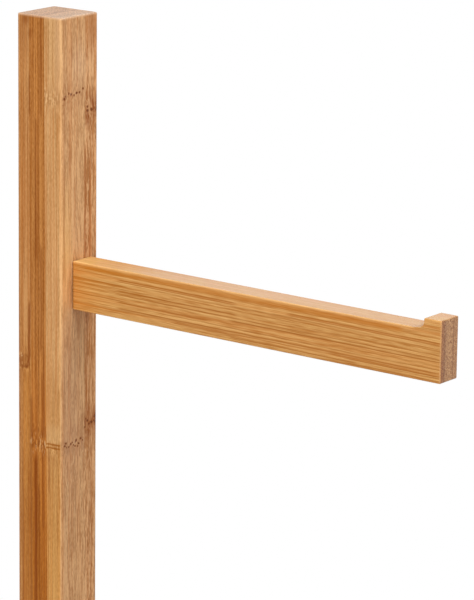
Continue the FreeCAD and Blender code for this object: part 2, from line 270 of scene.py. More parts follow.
def oval(across, along, middle, level, half_width, half_height):
    """0 in the middle of an oval, 1 on its rim and more outside it."""
    return length(vector((across - middle) / half_width, (along - level) / half_height, 0.0))


# Sizes of the grain's patterns along a strip, through it and across it. EVEN is too long to show a change.
EVEN = 400
SWAY_SIZES = (60, 9, 9)
KINK_SIZES = (7, 4, 4)
SWIRL_SIZES = (12, 4, 4)
BAND_SIZES = (190, 2.4, 2.4)
LINE_SIZES = (140, 0.36, 0.36)
FIBRE_SIZES = (9, 0.42, 0.45)
GRIT_SIZES = (1.4, 0.35, 0.35)
CLOUD_SIZES = (38, 6, 6)
WARMTH_SIZES = (90, 1, 1)
THIN_LINE_SIZES = (160, 1.4, 1.4)
HAIR_SIZES = (120, 0.8, 0.8)
WAVE_SIZES = (EVEN, 40, 3)
STAIN_SIZES = (5, 1.6, 1.6)
SPECKLE_SIZES = (1.3, 1.1, 0.8)
NODE_DASH_SIZES = (4, 0.6, 0.6)
NODE_DOT_SIZES = (2, 9, 2.3)
END_LAYER_SIZES = (EVEN, 1.2, 40)
END_SPECK_SIZES = (90, 0.45, 0.45)

# How far from a node its marks reach, where the fibres swirl before it, and its row of marks: half its
# width, and how much it leans over stretches of twice the half stretch.
NODE_REACH = 9.0
SWIRL_RISE = (-38, -4)
SWIRL_FALL = (8, 0)
ROW_HALF_WIDTH = 3.4
ROW_LEAN = 0.15
ROW_HALF_STRETCH = 10.0

# The pattern moves this far along and across from one strip to the next.
STRIP_SHIFT_ALONG = 331.7
STRIP_SHIFT_ACROSS = 41.3

WARM_FIBRE = tone(204, 122, 50)
THIN_LINE = tone(150, 78, 8)
NODE_STAIN = tone(134, 62, 0)
NODE_DOT = tone(104, 46, 8)
END_DARK = tone(126, 80, 48)
END_PALE = tone(222, 174, 126)


class Strip:
    """The bamboo strip at a point: the point's place in it, the side that shows, and the strip's looks.

    flat and end are 1 where its flat side or its cut end shows. light and dark are its tones. streaks says
    how streaked it is, stain how dark its nodes are, and to_node how far past a node the point is.
    """

    def __init__(self, number, along, depth, width, flat, end, light, dark, streaks, stain, to_node):
        """Keep the values, and move the pattern by the strip's number, so that no two look alike."""
        self.along = along + number * STRIP_SHIFT_ALONG
        self.depth = depth
        self.width = width + number * STRIP_SHIFT_ACROSS
        self.straight = vector(self.along, self.depth, self.width)
        self.flat = flat
        self.end = end
        self.light = light
        self.dark = dark
        self.streaks = streaks
        self.stain = stain
        self.to_node = to_node
        self.zone = to_node.hump(0.0, NODE_REACH)


def follow_fibres(strip):
    """Coordinates along the fibres: they wander, kink at a node and swirl before it on the flat side."""
    swirl = strip.flat * strip.to_node.smooth(*SWIRL_RISE) * strip.to_node.smooth(*SWIRL_FALL)
    sway = 0.4 * noise(strip.straight, SWAY_SIZES, 1)
    sway = sway + 2.4 * strip.zone * noise(strip.straight, KINK_SIZES, 2)
    sway = sway + 2.0 * swirl * noise(strip.straight, SWIRL_SIZES, 22)
    return vector(strip.along, strip.depth + sway, strip.width + sway)


def plain_fibres(strip, grain):
    """Colour, roughness and height of the fibres between nodes: noise drawn out along the strip.

    Broad bands and fine lines show all round, and short fibres and grit most on the flat side. Thin dark
    lines lie where a slow noise passes through 0.
    """
    bands = noise(grain, BAND_SIZES, 3)
    lines = noise(grain, LINE_SIZES, 4, 0.0)
    fibres = noise(grain, FIBRE_SIZES, 5)
    grit = noise(grain, GRIT_SIZES, 6, 0.0)
    shade = 0.55 + strip.streaks * (0.6 * bands + 1.8 * lines) + 0.8 * noise(grain, CLOUD_SIZES, 7)
    shade = shade + (0.8 + 2.3 * strip.flat) * fibres + (0.8 + 0.5 * strip.flat) * grit
    colour = blend(shade, strip.dark, strip.light)
    colour = blend((0.06 + 1.4 * noise(grain, WARMTH_SIZES, 8)).least(0.35), colour, WARM_FIBRE)
    thin = abs(noise(grain, THIN_LINE_SIZES, 9)).smooth(0.045, 0.0) * strip.streaks
    hairs = abs(noise(grain, HAIR_SIZES, 21)).smooth(0.06, 0.0) * strip.streaks
    colour = blend((0.55 * thin).most(0.35 * hairs) * (1 - 0.5 * strip.flat), colour, THIN_LINE)
    roughness = 0.36 - 0.3 * fibres + 0.1 * thin + 0.15 * strip.end
    height = 0.5 + 0.6 * fibres + 0.6 * lines + 0.4 * grit - 0.3 * thin
    return colour, roughness, height


def node_marks(strip, grain, colour):
    """The colour with a node's marks on it, and the share of its dots.

    Fibre bundles that turn inwards leave a wavy row of dots on the flat side, and specks and short dashes
    most on the edge. The fibres round them are stained in patches.
    """
    wave = 3.0 * noise(strip.straight, WAVE_SIZES, 10) - ROW_LEAN * strip.width.wrap(ROW_HALF_STRETCH)
    bundle = vector(strip.to_node + wave, strip.depth, strip.width)
    row = (strip.to_node + wave).hump(0.0, ROW_HALF_WIDTH)
    speckle = noise(bundle, SPECKLE_SIZES, 12) * row * (1 - 0.5 * strip.flat)
    dash = noise(bundle, NODE_DASH_SIZES, 13) * strip.zone.smooth(0.5, 1.0) * (1 - 0.7 * strip.flat)
    dots = cells(bundle, NODE_DOT_SIZES, 14).smooth(0.32, 0.12) * row.smooth(0.3, 0.6) * strip.flat
    stained = 0.8 + 4.0 * noise(grain, STAIN_SIZES, 11)
    colour = blend(strip.stain * strip.zone * stained, colour, NODE_STAIN)
    colour = blend(5.0 * speckle + 5.0 * dash, colour, strip.light)
    colour = blend(-5.0 * speckle - 4.0 * dash, colour, strip.dark)
    return blend(0.9 * dots, colour, NODE_DOT), dots


def cut_fibres(grain):
    """Colour of a cut end: soft layers, and the ends of the fibre bundles as specks."""
    shade = 0.5 + 1.1 * noise(grain, END_LAYER_SIZES, 15) + 2.8 * noise(grain, END_SPECK_SIZES, 16)
    return blend(shade, END_DARK, END_PALE)


def bamboo(strip):
    """Colour, roughness and height of a strip: its fibres, the marks of its nodes and its cut end."""
    grain = follow_fibres(strip)
    colour, roughness, height = plain_fibres(strip, grain)
    colour, dots = node_marks(strip, grain, colour)
    return blend(0.85 * strip.end, colour, cut_fibres(grain)), roughness, height - 0.5 * dots


# Shares of its normal over which a face comes to be on a side, to look up, and to be clear of the post.
ON_SIDE = (0.6, 0.9)
LOOKS_UP = (0.5, 0.95)
CLEAR_OF_POST = (-0.2, -0.02)

# A clear satin lacquer over bamboo.
LACQUER = {"IOR": 1.3, "Specular_Tint": (0.30, 0.15, 0.03, 1), "Coat_IOR": 1.3, "Coat_Roughness": 0.30}
COAT = 0.6
GRAIN_RELIEF = 0.10

# The post's three glued layers, from its back to the arm's side: where they meet at the post's top, and how
# far that shifts for each millimetre down. Each layer is two strips, which meet at its strip joint.
LAYER_JOINTS = (-4.6, 2.3)
LAYER_SLANT = 0.007
STRIP_JOINTS = (-3, 5, 3)
POST_LIGHT = (
    tone(207, 150, 93), tone(212, 156, 94), tone(203, 138, 73),
    tone(204, 142, 80), tone(224, 175, 120), tone(224, 174, 124),
)
POST_DARK = (
    tone(161, 103, 51), tone(160, 104, 54), tone(141, 80, 26),
    tone(150, 92, 40), tone(177, 126, 73), tone(163, 109, 62),
)
POST_STAINS = (0.3, 0.3, 0.45, 0.3, 0.2, 0.8)
# For each strip, how far below the post's top a node is, the gap to the next, and how streaked it is.
POST_NODES = (
    (124, 140, 0.65), (50, 128, 0.7), (152, 160, 0.9),
    (80, 140, 0.9), (28, 125, 0.55), (33, 113, 0.5),
)
# The tones deepen between these depths below the top: painted shade where the lamps' light falls off, and
# on the left side partly the strips' own deeper tone. The back layer's left side has its own depths, and a
# stretch across over which its deeper tone sets in.
LOW_PART = (100, 200)
LOW_PAINTED_SHADE_TINT = (0.95, 0.94, 0.92)
DEEP_TONE_AND_SHADE_TINT = (0.98, 0.84, 0.45)
BACK_LOW_PART = (105, 135)
BACK_EDGE = (-8.5, -6.5)
BACK_TONE_AND_SHADE_TINT = (0.96, 0.86, 0.58)
ROSY_GREY = tone(176, 136, 130)

# Dark lines on the left side and towards the arm: place across, half width, where they start and stop below
# the top, and strength.
LEFT_LINES = (
    (-4.4, 0.5, 22, 33, 0.7), (0.9, 0.8, 0, 33, 0.6), (-1.5, 1.3, 38, 84, 0.45),
    (0.9, 0.8, 83, 117, 0.5), (-4.6, 0.8, 104, 120, 0.8), (1.4, 0.9, 129, 148, 0.4),
    (-7.4, 0.5, 158, 240, 0.5), (-3.6, 1, 138, 270, 0.5), (-1.5, 1.5, 160, 270, 0.85),
    (-0.1, 0.6, 170, 250, 0.7), (1.8, 0.8, 158, 182, 0.6), (4.7, 0.3, 156, 168, 0.6),
    (2.2, 0.9, 120, 156, 0.45),
)
FACE_LINES = (
    (-8.4, 0.6, 2, 90, 0.4), (-4.6, 0.3, 4, 22, 0.6), (2.9, 0.9, 48, 94, 0.6), (5.6, 0.8, 52, 94, 0.6),
    (4.2, 0.4, 104, 140, 0.6), (6.8, 0.5, 157, 250, 0.6), (-5.5, 0.4, 110, 140, 0.5),
)
LEFT_LINE = tone(124, 56, 0)
FACE_LINE = tone(156, 82, 16)
WOBBLE_SIZES = (EVEN, EVEN, 14)
# Dots on the side towards the arm, where fibres turn inwards at a node: place across, depth below the top,
# and half width.
FACE_DOTS = (
    (-8.2, 28.1, 0.9), (-5.9, 26.5, 0.8), (-3, 27.4, 0.7), (-1.6, 26.8, 0.7), (-0.2, 26.8, 0.7),
    (1.9, 25.7, 0.7), (4.2, 32.4, 0.8), (4.3, 33.8, 1), (6.5, 33.7, 1.1), (9.2, 33.2, 0.9),
    (-7.2, 151.5, 0.7), (-8, 152.4, 0.6), (-7, 153, 0.6), (-5.5, 153.1, 0.6), (-4.6, 152.2, 0.7),
    (-3.8, 151.8, 0.5), (-3, 152.9, 0.6), (-2.2, 153.5, 0.6), (-1.6, 151.4, 0.8), (-0.9, 153.8, 0.6),
    (-0.3, 152.9, 0.7), (0.9, 151.3, 0.8), (1.9, 152.2, 0.6), (3.2, 147.7, 0.7), (3.8, 144.8, 0.7),
    (4.6, 145.6, 0.9), (5.6, 146.9, 0.8), (6.9, 146.6, 1), (8.6, 144.7, 0.9), (8.2, 146.4, 0.7),
)
DOT_RIM = tone(146, 76, 4)
DOT_MIDDLE = tone(80, 26, 0)
RAGGED_SIZES = (EVEN, 1.3, 1.3)
# Soft oval patches on the two sides: strength, colour, place across, depth below the top, half width and
# half height.
LEFT_PATCHES = (
    (0.4, tone(150, 88, 36), -7.5, 7, 5, 14), (0.65, tone(136, 68, 12), -5.9, 1.7, 2.8, 3.2),
    # The pale patch that ends this row is a painted highlight by the front edge, near the top.
    (0.65, tone(136, 68, 12), -3.9, 6.6, 1.5, 3), (0.25, tone(238, 200, 156), 9, 10, 3.5, 30),
)
FACE_PATCHES = (
    (0.15, tone(232, 196, 166), -0.5, 17, 7.5, 13), (0.65, tone(156, 86, 24), 6.4, 5, 5.5, 14),
    # The pale patch that starts this row is painted light: a glow on the post beside the arm.
    (0.5, tone(240, 188, 120), -7.2, 82, 5, 36), (0.15, tone(208, 170, 142), -4, 138, 9, 55),
    (0.5, tone(158, 88, 28), 6.8, 146, 5, 9), (0.35, tone(146, 92, 52), -5.5, 154.2, 6, 3.2),
)
# A knot on the left side: place across, depth below the top, half width and half height. Pale specks crown
# its left part: how far above its middle they lie, their half height, and where across they set in.
POST_KNOT = (-6.7, 123.3, 2.7, 2.9)
KNOT_SIZES = (1.6, EVEN, 1.6)
KNOT_RING = tone(124, 56, 4)
CROWN_RISE = 1.7
CROWN_HALF_HEIGHT = 1.3
CROWN_EDGE = (-6.4, -7.4)
CROWN_SIZES = (0.9, EVEN, 1.3)
CROWN_SPECK = tone(240, 194, 140)
# Two dark creases on the left side of the layer by the arm, by their depth below the top, how they bow and
# lean, and the pale stretch above them.
CREASE_DEPTHS = (152.5, 153.8)
CREASE_HALF_WIDTH = 0.6
BOW_SIZES = (5, EVEN, EVEN)
CREASE_LEAN = 0.07
CREASE = tone(150, 80, 0)
PALE_START = (143, 149)
PALE_STOP = (153, 151)
PALE_STRETCH = tone(236, 196, 140)
# Short pale and dark dashes on the layers behind it: depth below the top and half height, and where across
# they set in.
PALE_DASHES = (152.5, 5.5)
DARK_DASHES = (149.5, 6)
DASH_EDGE = (-5, -3)
DASH_SIZES = (0.55, EVEN, 2.6)
PALE_DASH = tone(236, 192, 136)
DARK_DASH = tone(124, 60, 8)
# The pale edges and rim, partly wear and partly painted highlight, fade over these distances. The cut end
# is paler towards the arm, with flecks there.
POST_EDGE = (0.75, 0.15)
POST_RIM = (0.9, 0.2)
POST_EDGE_WEAR_AND_HIGHLIGHT = tone(252, 206, 150)
POST_RIM_WEAR_AND_HIGHLIGHT = tone(240, 206, 176)
PALE_END_PART = (-2, 6)
PALE_END = tone(244, 218, 190)
FLECK_PART = (5, 9)
FLECK_SIZES = (0.9, 0.9, EVEN)
END_FLECK = tone(246, 228, 208)


class PostSpot:
    """A point of the post: its place from the post's axis and top, and shares of the sides it is on.

    second and third are 1 past the first and the second layer joint. left and front are 1 on the left side
    and on the side towards the arm, and low grows from 0 to 1 down the post.
    """

    def __init__(self, place, normal):
        self.place = place
        x, self.y, self.height = parts(place)
        self.x = x - POST_AXIS_X
        self.down = POST_HIGH[2] - self.height
        self.layered = self.x - LAYER_SLANT * self.down
        self.second = self.layered > LAYER_JOINTS[0]
        self.third = self.layered > LAYER_JOINTS[1]
        normal_x, normal_y, normal_z = parts(normal)
        self.flat = abs(normal_x)
        self.end = abs(normal_z)
        self.left = (-normal_y).smooth(*ON_SIDE)
        self.front = normal_x.smooth(*ON_SIDE)
        self.low = self.down.smooth(*LOW_PART)


def post_strip(spot):
    """The strip at a point: two in each layer, numbered from the back, their flat sides towards the arm."""
    first, second, third = STRIP_JOINTS
    joint = first + (second - first) * spot.second + (third - second) * spot.third
    number = 2 * (spot.second + spot.third) + (spot.y > joint)
    node_down, node_gap, streaks = parts(lookup(number, [(*values, 1.0) for values in POST_NODES]))
    to_node = (node_down - spot.down).wrap(node_gap / 2)
    light, dark = lookup(number, POST_LIGHT), lookup(number, POST_DARK)
    stain = lookup(number, [(value, value, value, 1.0) for value in POST_STAINS])
    looks = (light, dark, streaks, stain, to_node)
    return Strip(number, spot.height, spot.x, spot.y, spot.flat, spot.end, *looks)


def post_tones(spot, colour):
    """Broad tones: darker and warmer down the post, most on the left side, and a rosy grey on the front.
    The darkening is painted shade where the lamps' light falls off; on the left side it is partly the
    strips' own deeper tone.
    """
    back = spot.left * (1 - spot.second)
    # Painted shade down the post, where the lamps' light falls off.
    colour = tinted(colour, spot.low * (1 - back), *LOW_PAINTED_SHADE_TINT)
    # On the left side, deeper tones down the post: partly the strips' own, partly painted shade.
    deep = spot.left * spot.low * (0.2 + 0.8 * spot.second - 0.3 * spot.third)
    colour = tinted(colour, deep, *DEEP_TONE_AND_SHADE_TINT)
    back_low = back * spot.x.smooth(*BACK_EDGE) * spot.down.smooth(*BACK_LOW_PART)
    colour = tinted(colour, back_low, *BACK_TONE_AND_SHADE_TINT)
    return blend(0.10 * spot.front * (spot.y < STRIP_JOINTS[2]), colour, ROSY_GREY)


def post_patches(spot, colour):
    """Soft oval patches, paler or darker than the strips they lie on. Two pale ones are painted light: a
    painted highlight by the front edge at the top of the left side, and a painted glow beside the arm.
    """
    for side, across, patches in ((spot.left, spot.x, LEFT_PATCHES), (spot.front, spot.y, FACE_PATCHES)):
        for strength, shade, *shape in patches:
            share = oval(across, spot.down, *shape).smooth(1.0, 0.0)
            colour = blend(strength * side * share, colour, shade)
    return colour


def post_lines(spot, colour):
    """Dark lines that wobble a little along the grain, and ragged dots with a soft rim."""
    wobble = noise(spot.place, WOBBLE_SIZES, 17)
    left_lines = highest([stroke(spot.x + wobble, spot.down, *line) for line in LEFT_LINES])
    face_lines = highest([stroke(spot.y + wobble, spot.down, *line) for line in FACE_LINES])
    colour = blend(spot.left * left_lines, colour, LEFT_LINE)
    colour = blend(spot.front * face_lines, colour, FACE_LINE)
    ragged = spot.y + 1.2 * noise(spot.place, RAGGED_SIZES, 24)
    dots = [ragged.hump(across, half) * spot.down.hump(depth, half) for across, depth, half in FACE_DOTS]
    dotted = highest(dots)
    colour = blend(0.6 * spot.front * dotted.smooth(0.0, 0.5), colour, DOT_RIM)
    return blend(0.7 * spot.front * dotted.smooth(0.3, 0.8), colour, DOT_MIDDLE)


def post_knot(spot, colour):
    """A knot: a soft dark oval in a rough ring, darkest at the lower right, and pale specks at its top."""
    middle, level, half_width, half_height = POST_KNOT
    knot = oval(spot.x, spot.down, *POST_KNOT) + 0.5 * noise(spot.place, KNOT_SIZES, 18)
    heel = ((spot.x - middle) / half_width + (spot.down - level) / half_height).smooth(-0.6, 0.8)
    dark_ring = 0.55 * heel * knot.hump(0.85, 0.35) + 0.3 * knot.smooth(1.1, 0.5)
    colour = blend(spot.left * dark_ring, colour, KNOT_RING)
    crown = spot.x.smooth(*CROWN_EDGE) * spot.down.hump(level - CROWN_RISE, CROWN_HALF_HEIGHT)
    specks = cells(spot.place, CROWN_SIZES, 19).smooth(0.45, 0.15) * crown
    return blend(0.6 * spot.left * specks, colour, CROWN_SPECK)


def post_creases(spot, colour):
    """Bowed creases under a pale stretch on the left side of the layer by the arm, and dashes behind it."""
    by_arm = spot.left * spot.third
    bow = spot.down - 0.9 * noise(spot.place, BOW_SIZES, 20) + CREASE_LEAN * spot.x
    colour = blend(0.22 * by_arm * bow.smooth(*PALE_START) * bow.smooth(*PALE_STOP), colour, PALE_STRETCH)
    creases = highest([bow.hump(depth, CREASE_HALF_WIDTH) for depth in CREASE_DEPTHS])
    colour = blend(0.85 * by_arm * creases, colour, CREASE)
    behind = spot.left * (1 - spot.third) * spot.x.smooth(*DASH_EDGE)
    dashes = noise(spot.place, DASH_SIZES, 25)
    pale = behind * spot.down.hump(*PALE_DASHES) * dashes.smooth(0.06, 0.20)
    colour = blend(0.5 * pale, colour, PALE_DASH)
    dark = behind * spot.down.hump(*DARK_DASHES) * dashes.smooth(-0.05, -0.18)
    return blend(0.7 * dark, colour, DARK_DASH)


def post_edges(spot, colour):
    """Pale edges along the post and round its top, partly wear and partly painted highlight, weaker down
    the post, and the cut end's paler part with its flecks.
    """
    to_side, to_face = POST_HALF - abs(spot.x), POST_HALF - abs(spot.y)
    edge = to_side.most(to_face).smooth(*POST_EDGE)
    rim = to_side.least(to_face).most(spot.down).smooth(*POST_RIM)
    # Painted highlight with wear along the edges, weaker down the post, and round the rim.
    colour = blend(0.46 * edge * (1 - 0.2 * spot.low), colour, POST_EDGE_WEAR_AND_HIGHLIGHT)
    colour = blend(0.3 * rim, colour, POST_RIM_WEAR_AND_HIGHLIGHT)
    colour = blend(0.08 * spot.end * spot.layered.smooth(*PALE_END_PART), colour, PALE_END)
    flecks = cells(spot.place, FLECK_SIZES, 23).smooth(0.40, 0.15) * spot.x.smooth(*FLECK_PART)
    return blend(0.5 * spot.end * flecks, colour, END_FLECK)


def post_bamboo():
    """Six glued strips in three layers, with the marks of their nodes, and a full coat only on the end."""
    material, place, normal = new_material("post_bamboo")
    spot = PostSpot(place, normal)
    colour, roughness, height = bamboo(post_strip(spot))
    for add_marks in (post_tones, post_patches, post_lines, post_knot, post_creases, post_edges):
        colour = add_marks(spot, colour)
    coat = COAT * (0.25 + 0.75 * spot.end)
    return dress(material, colour, roughness, height, GRAIN_RELIEF, Coat_Weight=coat, **LACQUER)


# The arm's two strips meet this far from its near side. Its grain is drawn out and hardly slants, and it
# shows no node: the nearest counts as this far off.
ARM_JOINT = 7.2
ARM_STRETCH = 0.25
ARM_SLANT = 0.002
ARM_NODE = 400.0
ARM_FLAT = 0.45
ARM_STREAKS = 0.42
ARM_STAIN = 0.0
ARM_LIGHT = (tone(225, 174, 106), tone(214, 150, 76))
ARM_DARK = (tone(178, 115, 48), tone(176, 106, 40))
# Thin dark lines along the arm: depth below the notch, half width, how far from the post they start and
# stop, and strength. The golden band under the notch's edge is written in the same way.
ARM_LINES = (
    (3.7, 0.4, 22.5, 69.5, 0.75), (3.7, 0.4, 95.5, 152.5, 0.65), (4.3, 0.35, 22.5, 69.5, 0.6),
    (4.3, 0.35, 95.5, 152.5, 0.6), (5.7, 0.4, 1.5, 21.5, 0.6), (7.7, 0.4, 22.5, 69.5, 0.75),
    (7.7, 0.35, 95.5, 152.5, 0.5), (8.9, 0.4, 22.5, 152.5, 0.6), (10, 0.4, 71.5, 152.5, 0.7),
    (11, 0.35, 1.5, 21.5, 0.5), (11.6, 0.45, 22.5, 57.5, 0.75), (13.8, 0.45, 22.5, 152.5, 0.65),
    (14.9, 0.4, 46.5, 70.5, 0.65), (14.9, 0.4, 119.5, 152.5, 0.6), (15.8, 0.4, 71.5, 119.5, 0.65),
    (16.4, 0.35, 119.5, 152.5, 0.5),
)
ARM_BAND = (1.5, 1.4, 7.5, 137.5, 0.65)
ARM_WOBBLE_SIZES = (30, EVEN, EVEN)
ARM_LINE = tone(160, 90, 12)
GOLDEN_BAND = tone(188, 108, 12)
# The faces that look up: their ground tone and mottling, and the stretches from the post over which they
# are dull and carry a painted sheen, and a stronger painted sheen nearer the post.
NOTCH_TONE = tone(210, 163, 108)
MOTTLE_SIZES = (9, 2, EVEN)
ROSY_MOTTLE = tone(226, 160, 112)
YELLOW_MOTTLE = tone(222, 180, 96)
DULL_PART = (36, 8)
PAINTED_SHEEN_TINT = (1.07, 1.11, 1.16)
DULL_ROUGHNESS = 0.45
SHEEN_BY_POST_PART = (12, 2)
PAINTED_SHEEN_BY_POST_TINT = (1.05, 1.16, 1.15)
# The other faces get a painted glow towards the post, of light that it throws back, and a thin painted
# shade lies against it; the glue joint on the end shares that dark tone.
PAINTED_GLOW_PART = (24, 0)
PAINTED_BOUNCE_GLOW = tone(210, 128, 44)
CONTACT_SHADE_PART = (0.7, 0.1)
JOINT_AND_CONTACT_SHADE = tone(110, 58, 18)
JOINT_HALF_WIDTH = 0.5
# The cut end, by distance from the near side: darker towards both sides, and warm at the near one.
NEAR_SHADE = (5, 1.6)
FAR_SHADE = (9, 9.8)
END_SHADE = tone(112, 66, 46)
END_WARM_PART = (2.4, 0.4)
END_TINT = (0.98, 0.8, 0.66)
# The pale edges, partly wear and partly painted highlight, fade over these distances, and that of the notch
# stops before the lip.
NOTCH_EDGE = (0.8, 0.2)
NOTCH_EDGE_STOP = (145.5, 141.5)
ARM_END_EDGE = (0.6, 0.1)
ARM_EDGE_WEAR_AND_HIGHLIGHT = tone(255, 206, 140)
# The coat grows to its full weight over this stretch from the post.
ARM_COAT = 1.14 * COAT
COAT_PART = (-10, 67.5)


class ArmSpot:
    """A point of the arm: its distances out from the post, from the near side and under the notch's floor.

    grain_under is the depth under the notch's floor of the fibre through the point. end and up are 1 on the
    cut end and on the faces that look up, and coated is 0 on the face against the post.
    """

    def __init__(self, place, normal):
        self.place = place
        self.x, self.y, height = parts(place)
        self.out = self.x - ARM_LOW[0]
        self.near = self.y - ARM_LOW[1]
        self.under = NOTCH_HEIGHT - height
        self.fibre = height + ARM_SLANT * self.x
        self.grain_under = NOTCH_HEIGHT - self.fibre
        normal_x, _, normal_z = parts(normal)
        self.end = normal_x.most(0.0)
        self.up = normal_z.smooth(*LOOKS_UP)
        self.coated = normal_x.smooth(*CLEAR_OF_POST)


def arm_strip(spot):
    """The strip at a point: one along the near side and one behind it."""
    number = spot.near > ARM_JOINT
    looks = (lookup(number, ARM_LIGHT), lookup(number, ARM_DARK), ARM_STREAKS, ARM_STAIN, spot.x - ARM_NODE)
    return Strip(number, spot.x * ARM_STRETCH, spot.y, spot.fibre, ARM_FLAT, spot.end, *looks)


def arm_lines(spot, colour):
    """Thin dark lines that wobble a little, and a golden band, on all faces but the end."""
    wobble = spot.grain_under - 0.5 * noise(spot.place, ARM_WOBBLE_SIZES, 17)
    lines = highest([stroke(wobble, spot.out, *line) for line in ARM_LINES])
    colour = blend(1.15 * lines * (1 - spot.end), colour, ARM_LINE)
    return blend(stroke(spot.grain_under, spot.out, *ARM_BAND) * (1 - spot.end), colour, GOLDEN_BAND)


def arm_top(spot, colour):
    """The faces that look up: an even ground with rosy and yellow mottling, and a painted sheen by the
    post.
    """
    colour = blend(0.45 * spot.up, colour, NOTCH_TONE)
    mottle = 1.4 * spot.up * noise(spot.place, MOTTLE_SIZES, 26, 2.0)
    colour = blend(mottle, colour, ROSY_MOTTLE)
    colour = blend(-mottle, colour, YELLOW_MOTTLE)
    # Painted sheen, in place of the gloss that the rougher coat by the post loses.
    colour = tinted(colour, spot.up * spot.out.smooth(*DULL_PART), *PAINTED_SHEEN_TINT)
    return tinted(colour, spot.up * spot.out.smooth(*SHEEN_BY_POST_PART), *PAINTED_SHEEN_BY_POST_TINT)


def arm_ends(spot, colour):
    """A painted glow and a painted contact shade by the post, and at the other end the glue joint and the
    cut end's shades.
    """
    # Painted glow of light thrown back by the post.
    colour = blend(0.3 * spot.out.smooth(*PAINTED_GLOW_PART) * (1 - spot.up), colour, PAINTED_BOUNCE_GLOW)
    joint = 0.6 * spot.end * spot.near.hump(ARM_JOINT, JOINT_HALF_WIDTH)
    # Painted contact shade along the butt, and the glue joint on the end, in one dark tone.
    colour = blend((0.4 * spot.out.smooth(*CONTACT_SHADE_PART)).most(joint), colour, JOINT_AND_CONTACT_SHADE)
    shade = 0.30 + 0.3 * spot.near.smooth(*NEAR_SHADE) + 0.35 * spot.near.smooth(*FAR_SHADE)
    colour = blend(spot.end * shade, colour, END_SHADE)
    return tinted(colour, spot.end * spot.near.smooth(*END_WARM_PART), *END_TINT)


def arm_edges(spot, colour):
    """Pale edges on the near side, along the notch and at the end: partly wear, partly painted highlight.
    """
    notch_edge = spot.near.most(abs(spot.under)).smooth(*NOTCH_EDGE) * spot.out.smooth(*NOTCH_EDGE_STOP)
    end_edge = spot.near.most(ARM_HIGH[0] - spot.x).smooth(*ARM_END_EDGE)
    # Painted highlight with wear on the edges.
    return blend(0.3 * notch_edge.most(end_edge), colour, ARM_EDGE_WEAR_AND_HIGHLIGHT)


def arm_bamboo():
    """Two glued strips with long fine lines that run almost level, duller on top beside the post."""
    material, place, normal = new_material("arm_bamboo")
    spot = ArmSpot(place, normal)
    colour, roughness, height = bamboo(arm_strip(spot))
    for add_marks in (arm_lines, arm_top, arm_ends, arm_edges):
        colour = add_marks(spot, colour)
    roughness = roughness + DULL_ROUGHNESS * spot.up * spot.out.smooth(*DULL_PART)
    coat = ARM_COAT * spot.out.smooth(*COAT_PART) * spot.coated
    return dress(material, colour, roughness, height, GRAIN_RELIEF, Coat_Weight=coat, **LACQUER)


# The base plate's layers are this thick and its strips this wide. From layer to layer the strips shift, and
# their numbers go up by a step. A strip's nodes move by up to the spread, and half the gap between them is
# the half gap and up to the change more. Each draw has its own number.
BASE_LAYER = 5.0
BASE_STRIP = 20.0
LAYER_SHIFT = 7.0
LAYER_STEP = 13
BASE_NODE_SPREAD = 240
BASE_HALF_GAP = 85.0
BASE_GAP_CHANGE = 30
NODE_DRAW = 50
GAP_DRAW = 90
BASE_STREAKS = 0.6
BASE_STAIN = 0.3
BASE_LIGHT = (tone(214, 160, 98), tone(222, 172, 112), tone(206, 146, 82), tone(216, 162, 110))
BASE_DARK = (tone(164, 106, 50), tone(176, 124, 70), tone(148, 90, 36), tone(158, 104, 58))
BASE_EDGE = (1.6, 0.4)
BASE_WORN_EDGE = tone(244, 196, 138)


def base_bamboo():
    """Three layers of strips along the arm's direction, each strip with its own tone and nodes."""
    material, place, normal = new_material("base_bamboo")
    x, y, z = parts(place)
    up = z - BASE_LOW[2]
    layer = (up > BASE_LAYER) + (up > 2 * BASE_LAYER)
    number = ((y - BASE_LOW[1] + LAYER_SHIFT * layer) / BASE_STRIP).floor() + LAYER_STEP * layer
    kind = (chance(number) * len(BASE_LIGHT)).floor()
    half_gap = BASE_HALF_GAP + BASE_GAP_CHANGE * chance(number + GAP_DRAW)
    to_node = (x + BASE_NODE_SPREAD * chance(number + NODE_DRAW)).wrap(half_gap)
    looks = (lookup(kind, BASE_LIGHT), lookup(kind, BASE_DARK), BASE_STREAKS, BASE_STAIN, to_node)
    normal_x, _, normal_z = parts(normal)
    colour, roughness, height = bamboo(Strip(number, x, z, y, abs(normal_z), abs(normal_x), *looks))
    edge = edge_distance(BASE_HIGH[0] - abs(x), BASE_HIGH[1] - abs(y), (BASE_HIGH[2] - z).least(up))
    colour = blend(0.35 * edge.smooth(*BASE_EDGE), colour, BASE_WORN_EDGE)
    return dress(material, colour, roughness, height, GRAIN_RELIEF, Coat_Weight=COAT, **LACQUER)


# Sizes of beech's fibres, rings and ray flecks, along the grain and two ways across it.
BEECH_FIBRES = (4, 0.3, 0.3)
BEECH_RINGS = (30, 1.4, 6)
BEECH_FLECKS = (1.3, 0.5, 0.35)


def beech(name, order):
    """Bare beech whose fibres run along the first axis in the order, with short dark ray flecks."""
    material, place, _ = new_material(name)
    axes = parts(place)
    grain = vector(*[axes[axis] for axis in order])
    fibres = noise(grain, BEECH_FIBRES, 1)
    rings = noise(grain, BEECH_RINGS, 2)
    flecks = cells(grain, BEECH_FLECKS, 3).smooth(0.30, 0.12)
    colour = blend(0.5 + 3.0 * fibres + 2.0 * rings, tone(200, 162, 116), tone(228, 200, 160))
    colour = blend(0.6 * flecks, colour, tone(164, 118, 76))
    roughness = 0.62 + 0.5 * fibres
    height = 0.5 + fibres - 0.4 * flecks
    return dress(material, colour, roughness, height, relief=0.06, IOR=1.4)


